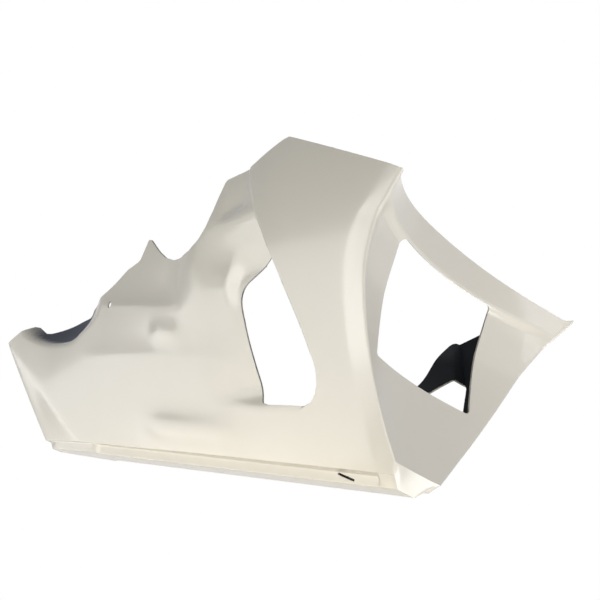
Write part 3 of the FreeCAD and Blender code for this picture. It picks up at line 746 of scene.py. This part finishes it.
def build_moulding():
    """The moulding: outer skin, the same skin moved in by the wall, and a rim of quads along every open edge."""
    points, normals, offsets, joined, outer = moulding_mesh()
    total = len(points)
    a, b = open_edges(joined, outer).T
    rim_faces = np.concatenate([np.stack([b, a, a + total], -1), np.stack([b, a + total, b + total], -1)])
    skin = joined[outer]
    faces = np.concatenate([skin, skin[:, ::-1] + total, rim_faces])
    every = np.concatenate([points, points - WALL * offsets])
    corners = every[rim_faces]
    rim_normals = unit(np.cross(corners[:, 1] - corners[:, 0], corners[:, 2] - corners[:, 0]))
    loops = np.concatenate([normals[outer].reshape(-1, 3), -normals[outer[:, ::-1]].reshape(-1, 3),
                            np.repeat(rim_normals, 3, axis=0)])
    slots = np.repeat([0, 1, 2], [len(outer), len(outer), len(rim_faces)])
    mesh = bpy.data.meshes.new("moulding")
    mesh.from_pydata((every * MM).tolist(), [], faces.tolist())
    mesh.polygons.foreach_set("material_index", slots.astype(np.int32))
    mesh.polygons.foreach_set("use_smooth", np.ones(len(faces), bool))
    # Shares of painted shade, in the pipe's relief and on what faces down, for both skins.
    for name, share in (("relief_shade", relief_shade_share(points)), ("down_shade", down_shade_share(offsets))):
        layer = mesh.attributes.new(name, "FLOAT", "POINT")
        layer.data.foreach_set("value", np.tile(share, 2).astype(np.float32))
    mesh.normals_split_custom_set(loops.tolist())
    mesh.update()
    piece = bpy.data.objects.new("moulding", mesh)
    bpy.context.scene.collection.objects.link(piece)
    return piece


def build_camera():
    """Camera at the photograph's place: turned by azimuth and elevation about the target, then rolled."""
    a, e, r = (math.radians(v) for v in (AZIMUTH, ELEVATION, ROLL))
    back = Vector((math.sin(a) * math.cos(e), -math.cos(a) * math.cos(e), math.sin(e)))
    right = Vector((math.cos(a), math.sin(a), 0.0))
    up = back.cross(right)
    turned = math.cos(r) * right + math.sin(r) * up
    raised = math.cos(r) * up - math.sin(r) * right
    data = bpy.data.cameras.new("camera")
    data.lens = LENS
    data.clip_end = CLIP_END
    camera = bpy.data.objects.new("camera", data)
    place = (Vector(TARGET) + back * DISTANCE) * MM
    camera.matrix_world = Matrix.Translation(place) @ Matrix((turned, raised, back)).transposed().to_4x4()
    bpy.context.scene.collection.objects.link(camera)
    bpy.context.scene.camera = camera


def opaque(colour):
    """A colour with its alpha."""
    return (*colour, 1.0)


def link(tree, source, target):
    """Joins two sockets."""
    tree.links.new(source, target)


def feed(tree, value, target):
    """Gives a socket a plain value, or joins another socket to it."""
    if isinstance(value, bpy.types.NodeSocket):
        link(tree, value, target)
    else:
        target.default_value = value


def node(tree, kind, **settings):
    """A shader node with some of its settings or inputs given by name."""
    made = tree.nodes.new(kind)
    for name, value in settings.items():
        if hasattr(made, name):
            setattr(made, name, value)
        else:
            made.inputs[name.replace("_", " ")].default_value = value
    return made


def calculated(tree, operation, first, second):
    """Sum, product or greater of two values or sockets."""
    made = node(tree, "ShaderNodeMath", operation=operation)
    feed(tree, first, made.inputs[0])
    feed(tree, second, made.inputs[1])
    return made.outputs[0]


def value_mix(tree, share, low, high):
    """Value that goes from low to high with a socket."""
    mixed = node(tree, "ShaderNodeMapRange")
    link(tree, share, mixed.inputs["Value"])
    feed(tree, low, mixed.inputs["To Min"])
    feed(tree, high, mixed.inputs["To Max"])
    return mixed.outputs[0]


def colour_mix(tree, share, low, high):
    """Colour that goes from low to high with a socket."""
    mixed = node(tree, "ShaderNodeMix", data_type="RGBA")
    link(tree, share, mixed.inputs[MIX_SHARE])
    for colour, place in ((low, MIX_LOW), (high, MIX_HIGH)):
        feed(tree, opaque(colour) if isinstance(colour, tuple) else colour, mixed.inputs[place])
    return mixed.outputs[MIX_COLOUR]


def shader_mix(tree, share, low, high):
    """Shader that goes from low to high with a socket."""
    mixed = node(tree, "ShaderNodeMixShader")
    for place, source in enumerate((share, low, high)):
        link(tree, source, mixed.inputs[place])
    return mixed.outputs[0]


def mottle_group():
    """Shared effect: cloudy tone at one scale and a fine height at another."""
    group = bpy.data.node_groups.new("mottle", "ShaderNodeTree")
    group.interface.new_socket("Coordinates", in_out="INPUT", socket_type="NodeSocketVector")
    group.interface.new_socket("Cloud Scale", in_out="INPUT", socket_type="NodeSocketFloat")
    group.interface.new_socket("Grain Scale", in_out="INPUT", socket_type="NodeSocketFloat")
    group.interface.new_socket("Tone", in_out="OUTPUT", socket_type="NodeSocketFloat")
    group.interface.new_socket("Height", in_out="OUTPUT", socket_type="NodeSocketFloat")
    given, result = node(group, "NodeGroupInput"), node(group, "NodeGroupOutput")
    cloud = node(group, "ShaderNodeTexNoise", Detail=CLOUD_DETAIL, Roughness=CLOUD_ROUGHNESS)
    grain = node(group, "ShaderNodeTexNoise", Detail=GRAIN_DETAIL)
    for noise, scale in ((cloud, "Cloud Scale"), (grain, "Grain Scale")):
        link(group, given.outputs["Coordinates"], noise.inputs["Vector"])
        link(group, given.outputs[scale], noise.inputs["Scale"])
    spread = node(group, "ShaderNodeMapRange", From_Min=CLOUD_LOW, From_Max=CLOUD_HIGH)
    link(group, cloud.outputs[0], spread.inputs["Value"])
    link(group, spread.outputs[0], result.inputs["Tone"])
    link(group, grain.outputs[0], result.inputs["Height"])


def finish(name, surface, **settings):
    """A material with its shader, its object coordinates and the shared mottle, at the scales of its surface."""
    material = bpy.data.materials.new(name)
    material.use_nodes = True
    tree = material.node_tree
    shader = tree.nodes["Principled BSDF"]
    for key, value in settings.items():
        shader.inputs[key.replace("_", " ")].default_value = value
    place = node(tree, "ShaderNodeTexCoord").outputs["Object"]
    mottle = node(tree, "ShaderNodeGroup", node_tree=bpy.data.node_groups["mottle"])
    mottle.inputs["Cloud Scale"].default_value = surface["cloud"]
    mottle.inputs["Grain Scale"].default_value = surface["grain"]
    link(tree, place, mottle.inputs["Coordinates"])
    return material, place, mottle.outputs["Tone"], mottle.outputs["Height"]


def surfaced(material, colour, rough, height, surface):
    """The material with its colour, roughness and bumped normal joined to its shader."""
    tree = material.node_tree
    shader = tree.nodes["Principled BSDF"]
    strength, depth = surface["bump"]
    bump = node(tree, "ShaderNodeBump", Strength=strength, Distance=depth)
    link(tree, height, bump.inputs["Height"])
    for source, target in ((colour, "Base Color"), (rough, "Roughness"), (bump.outputs[0], "Normal")):
        link(tree, source, shader.inputs[target])
    return material


def gelcoat():
    """Glossy cream gelcoat, a little cloudy, with painted shade on what faces down and in the pipe's relief."""
    material, _, tone, height = finish("gelcoat", GELCOAT_SURFACE, Coat_Roughness=COAT_ROUGHNESS)
    tree = material.node_tree
    down_shade = node(tree, "ShaderNodeAttribute", attribute_name="down_shade").outputs["Fac"]
    relief_shade = node(tree, "ShaderNodeAttribute", attribute_name="relief_shade").outputs["Fac"]
    cloudy = colour_mix(tree, calculated(tree, "MULTIPLY", tone, CREAM_CLOUD), CREAM, CREAM_DEEP)
    # Painted shade on what faces down: a darker cream.
    down_shaded = colour_mix(tree, down_shade, cloudy, DOWN_SHADE)
    # Painted shade in the pipe's relief: dark slate, with the coat taken off and the roughness raised.
    relief_shaded = colour_mix(tree, relief_shade, down_shaded, RELIEF_SHADE)
    rough = value_mix(tree, relief_shade, value_mix(tree, tone, *GELCOAT_SURFACE["rough"]), RELIEF_ROUGHNESS)
    coat = value_mix(tree, relief_shade, COAT_WEIGHT, 0.0)
    link(tree, coat, tree.nodes["Principled BSDF"].inputs["Coat Weight"])
    return surfaced(material, relief_shaded, rough, height, GELCOAT_SURFACE)


def laminate():
    """Dark raw laminate inside: woven cloth under resin."""
    material, place, tone, height = finish("laminate", LAMINATE_SURFACE, Specular_IOR_Level=LAMINATE_SHEEN)
    tree = material.node_tree
    colour = colour_mix(tree, tone, LAMINATE, LAMINATE_WARM)
    rough = value_mix(tree, tone, *LAMINATE_SURFACE["rough"])
    for axis in ("X", "Z"):
        warp = node(tree, "ShaderNodeTexWave", wave_type="BANDS", bands_direction=axis, Scale=WEAVE_SCALE,
                    Distortion=WEAVE_WANDER)
        link(tree, place, warp.inputs["Vector"])
        height = calculated(tree, "ADD", height, warp.outputs["Fac"])
    return surfaced(material, colour, rough, height, LAMINATE_SURFACE)


def cut_edge():
    """Sawn edge of the laminate: grey, dry and fibrous."""
    material, _, tone, height = finish("cut_edge", CUT_SURFACE)
    tree = material.node_tree
    colour = colour_mix(tree, tone, CUT_EDGE, CREAM_DEEP)
    rough = value_mix(tree, tone, *CUT_SURFACE["rough"])
    return surfaced(material, colour, rough, height, CUT_SURFACE)


def build_world():
    """White surroundings for the camera and in reflections, softer and a little cool as light."""
    world = bpy.data.worlds.new("studio")
    bpy.context.scene.world = world
    world.use_nodes = True
    tree = world.node_tree
    sky = tree.nodes["Background"]
    sky.inputs["Color"].default_value = opaque(SKY)
    sky.inputs["Strength"].default_value = SKY_STRENGTH
    white = node(tree, "ShaderNodeBackground", Color=opaque(WHITE), Strength=1.0)
    path = node(tree, "ShaderNodeLightPath")
    seen = calculated(tree, "MAXIMUM", path.outputs["Is Camera Ray"], path.outputs["Is Glossy Ray"])
    seen = calculated(tree, "MAXIMUM", seen, path.outputs["Is Transmission Ray"])
    shown = shader_mix(tree, seen, sky.outputs[0], white.outputs[0])
    link(tree, shown, tree.nodes["World Output"].inputs["Surface"])


def build_floor():
    """Pale floor under the keel, clear from below and in reflections, so that low lamps and a low camera pass it."""
    mesh = bpy.data.meshes.new("floor")
    low = float(cad_box[0].z)
    square = [(-FLOOR_HALF, -FLOOR_HALF, low), (FLOOR_HALF, -FLOOR_HALF, low)]
    square += [(FLOOR_HALF, FLOOR_HALF, low), (-FLOOR_HALF, FLOOR_HALF, low)]
    mesh.from_pydata(square, [], [(0, 1, 2, 3)])
    floor = bpy.data.objects.new("floor", mesh)
    bpy.context.scene.collection.objects.link(floor)
    material = bpy.data.materials.new("floor")
    material.use_nodes = True
    tree = material.node_tree
    shader = tree.nodes["Principled BSDF"]
    shader.inputs["Base Color"].default_value = opaque(FLOOR_COLOUR)
    shader.inputs["Roughness"].default_value = FLOOR_ROUGHNESS
    shader.inputs["Emission Color"].default_value = opaque(WHITE)
    clear = node(tree, "ShaderNodeBsdfTransparent")
    side = node(tree, "ShaderNodeNewGeometry")
    path = node(tree, "ShaderNodeLightPath")
    glow = calculated(tree, "MULTIPLY", path.outputs["Is Camera Ray"], FLOOR_GLOW)
    link(tree, glow, shader.inputs["Emission Strength"])
    passing = calculated(tree, "MAXIMUM", side.outputs["Backfacing"], path.outputs["Is Glossy Ray"])
    shown = shader_mix(tree, passing, shader.outputs[0], clear.outputs[0])
    link(tree, shown, tree.nodes["Material Output"].inputs["Surface"])
    mesh.materials.append(material)
    floor.visible_shadow = False


def build_lamps():
    """Soft area lamps and cards, each turned to its target."""
    for name, (place, target, size, power, colour) in (LAMPS | CARDS).items():
        data = bpy.data.lights.new(name, "AREA")
        data.shape = "RECTANGLE"
        data.size, data.size_y = size
        data.energy = power
        data.color = colour
        lamp = bpy.data.objects.new(name, data)
        lamp.location = place
        lamp.visible_diffuse = name not in CARDS
        lamp.rotation_euler = (Vector(target) - Vector(place)).to_track_quat("-Z", "Y").to_euler()
        bpy.context.scene.collection.objects.link(lamp)


mottle_group()
moulding = build_moulding()
for made in (gelcoat(), laminate(), cut_edge()):
    moulding.data.materials.append(made)
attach(moulding, BODY)
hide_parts(NODE)
build_world()
build_floor()
build_lamps()
build_camera()
bpy.context.scene.view_settings.view_transform = "Standard"
